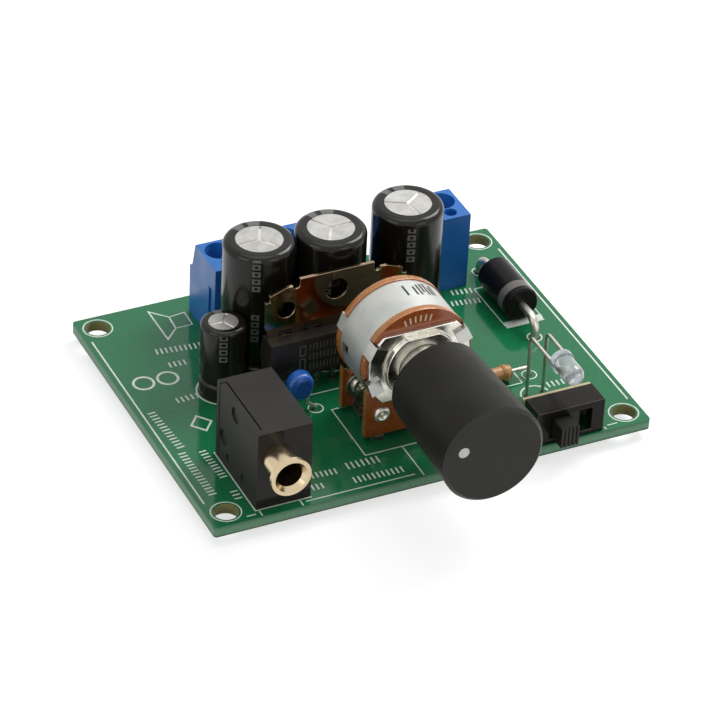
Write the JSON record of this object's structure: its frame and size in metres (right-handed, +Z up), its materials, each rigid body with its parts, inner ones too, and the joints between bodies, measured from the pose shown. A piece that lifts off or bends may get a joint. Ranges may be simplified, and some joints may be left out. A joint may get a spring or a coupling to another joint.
{
  "type": "audio amplifier",
  "caption": "Small stereo amplifier board with volume knob, audio jack, power switch, indicator lamp and screw terminals for speakers and supply.",
  "frame": {"origin": "centre of the four mounting holes, on the underside of the board", "axes": "+X to the right along the front edge, +Y to the back edge with the terminals, +Z up through the board; the knob, jack and switch face -Y"},
  "size_m": [0.066, 0.0652, 0.0238],
  "materials": {
    "board_mask": "green solder mask over glass-fibre laminate, white print, fibre-coloured cut edges",
    "solder": "tin solder fillets, bright, slightly dimpled",
    "can_aluminium": "drawn aluminium, satin, scored vent on top",
    "sleeve": "shrunk black sleeve with a pale grey stripe",
    "bung_rubber": "moulded rubber, matt",
    "tinned_wire": "tinned copper wire, satin",
    "tinned_strip": "tinned stamped strip, satin",
    "block_plastic": "blue moulded nylon, satin",
    "screw_steel": "zinc-plated steel, slot worn bright",
    "contact_brass": "stamped brass, satin",
    "chip_epoxy": "black moulded epoxy, fine matt grain",
    "fin_metal": "tin-plated copper, rolled, warm reflections",
    "zinc_plate": "zinc-plated steel, rolled, satin",
    "phenolic": "brown phenolic paper board, pale punched edges",
    "rivet_metal": "tin-plated hollow rivets",
    "rotor_plastic": "pale moulded plastic",
    "shaft_metal": "turned steel",
    "knob_plastic": "black moulded plastic, satin; white inlaid dot on the knob",
    "jack_plastic": "black moulded plastic, fine grain, polished front face",
    "barrel_nickel": "nickel-plated turned brass, bright",
    "switch_plastic": "black moulded plastic, satin",
    "lens": "clear epoxy lens, faintly milky",
    "resistor_coat": "tan lacquer with colour bands",
    "bead_coat": "blue dipped epoxy, glossy"
  },
  "bodies": {
    "board": {"circuit_board": "board_mask", "solder_joints": "solder", "capacitor_left_can": "can_aluminium", "capacitor_left_sleeve": "sleeve", "capacitor_middle_can": "can_aluminium", "capacitor_middle_sleeve": "sleeve", "capacitor_right_can": "can_aluminium", "capacitor_right_sleeve": "sleeve", "capacitor_small_can": "can_aluminium", "capacitor_small_sleeve": "sleeve", "capacitor_bungs": "bung_rubber", "capacitor_leads": "tinned_wire", "terminal_block_left": "block_plastic", "terminal_block_middle": "block_plastic", "terminal_block_right": "block_plastic", "terminal_contacts": "tinned_strip", "amplifier_chip_body": "chip_epoxy", "amplifier_chip_fin": "fin_metal", "amplifier_chip_pins": "tinned_strip", "potentiometer_front_plate": "zinc_plate", "potentiometer_bushing": "zinc_plate", "potentiometer_front_wafer": "phenolic", "potentiometer_can": "zinc_plate", "potentiometer_rear_wafer": "phenolic", "potentiometer_rear_cover": "zinc_plate", "potentiometer_terminals": "tinned_strip", "potentiometer_rivets": "rivet_metal", "jack_housing": "jack_plastic", "jack_side_cover": "jack_plastic", "jack_barrel": "barrel_nickel", "jack_tip_contact": "contact_brass", "jack_ring_contact": "contact_brass", "switch_case": "switch_plastic", "switch_base": "phenolic", "switch_pins": "contact_brass", "lamp_lens": "lens", "lamp_leads": "tinned_wire", "diode_body": "chip_epoxy", "diode_leads": "tinned_wire", "resistor_body": "resistor_coat", "resistor_leads": "tinned_wire", "ceramic_capacitor_body": "bead_coat", "ceramic_capacitor_leads": "tinned_wire"},
    "volume": {"volume_knob": "knob_plastic", "potentiometer_shaft": "shaft_metal", "potentiometer_rotors": "rotor_plastic"},
    "switch_slider": {"switch_lever": "knob_plastic", "switch_bridge": "contact_brass"},
    "screw_1": {"clamp_screw_1": "screw_steel"},
    "cage_1": {"clamp_cage_1": "contact_brass"},
    "screw_2": {"clamp_screw_2": "screw_steel"},
    "cage_2": {"clamp_cage_2": "contact_brass"},
    "screw_3": {"clamp_screw_3": "screw_steel"},
    "cage_3": {"clamp_cage_3": "contact_brass"},
    "screw_4": {"clamp_screw_4": "screw_steel"},
    "cage_4": {"clamp_cage_4": "contact_brass"},
    "screw_5": {"clamp_screw_5": "screw_steel"},
    "cage_5": {"clamp_cage_5": "contact_brass"},
    "screw_6": {"clamp_screw_6": "screw_steel"},
    "cage_6": {"clamp_cage_6": "contact_brass"}
  },
  "joints": [
    {"name": "volume_turn", "type": "hinge", "parent": "board", "child": "volume", "pos_m": [0.001, -0.02, 0.0137], "axis": [0, 1, 0], "range_deg": [-81, 219]},
    {"name": "switch_slide", "type": "slide", "parent": "board", "child": "switch_slider", "axis": [1, 0, 0], "range_m": [0, 0.003]},
    {"name": "clamp_1_turn", "type": "hinge", "parent": "board", "child": "screw_1", "pos_m": [-0.01381, 0.018, 0.0096], "axis": [0, 0, -1], "range_deg": [0, 1440]},
    {"name": "clamp_1_rise", "type": "slide", "parent": "board", "child": "cage_1", "axis": [0, 0, 1], "range_m": [0, 0.0018]},
    {"name": "clamp_2_turn", "type": "hinge", "parent": "board", "child": "screw_2", "pos_m": [-0.00873, 0.018, 0.0096], "axis": [0, 0, -1], "range_deg": [0, 1440]},
    {"name": "clamp_2_rise", "type": "slide", "parent": "board", "child": "cage_2", "axis": [0, 0, 1], "range_m": [0, 0.0018]},
    {"name": "clamp_3_turn", "type": "hinge", "parent": "board", "child": "screw_3", "pos_m": [-0.00365, 0.018, 0.0096], "axis": [0, 0, -1], "range_deg": [0, 1440]},
    {"name": "clamp_3_rise", "type": "slide", "parent": "board", "child": "cage_3", "axis": [0, 0, 1], "range_m": [0, 0.0018]},
    {"name": "clamp_4_turn", "type": "hinge", "parent": "board", "child": "screw_4", "pos_m": [0.00143, 0.018, 0.0096], "axis": [0, 0, -1], "range_deg": [0, 1440]},
    {"name": "clamp_4_rise", "type": "slide", "parent": "board", "child": "cage_4", "axis": [0, 0, 1], "range_m": [0, 0.0018]},
    {"name": "clamp_5_turn", "type": "hinge", "parent": "board", "child": "screw_5", "pos_m": [0.01592, 0.018, 0.0096], "axis": [0, 0, -1], "range_deg": [0, 1440]},
    {"name": "clamp_5_rise", "type": "slide", "parent": "board", "child": "cage_5", "axis": [0, 0, 1], "range_m": [0, 0.0018]},
    {"name": "clamp_6_turn", "type": "hinge", "parent": "board", "child": "screw_6", "pos_m": [0.021, 0.018, 0.0096], "axis": [0, 0, -1], "range_deg": [0, 1440]},
    {"name": "clamp_6_rise", "type": "slide", "parent": "board", "child": "cage_6", "axis": [0, 0, 1], "range_m": [0, 0.0018]}
  ],
  "couplings": [
    {"joint": "clamp_1_turn", "follows": "clamp_1_rise", "rad_per_m": 13960},
    {"joint": "clamp_2_turn", "follows": "clamp_2_rise", "rad_per_m": 13960},
    {"joint": "clamp_3_turn", "follows": "clamp_3_rise", "rad_per_m": 13960},
    {"joint": "clamp_4_turn", "follows": "clamp_4_rise", "rad_per_m": 13960},
    {"joint": "clamp_5_turn", "follows": "clamp_5_rise", "rad_per_m": 13960},
    {"joint": "clamp_6_turn", "follows": "clamp_6_rise", "rad_per_m": 13960}
  ]
}
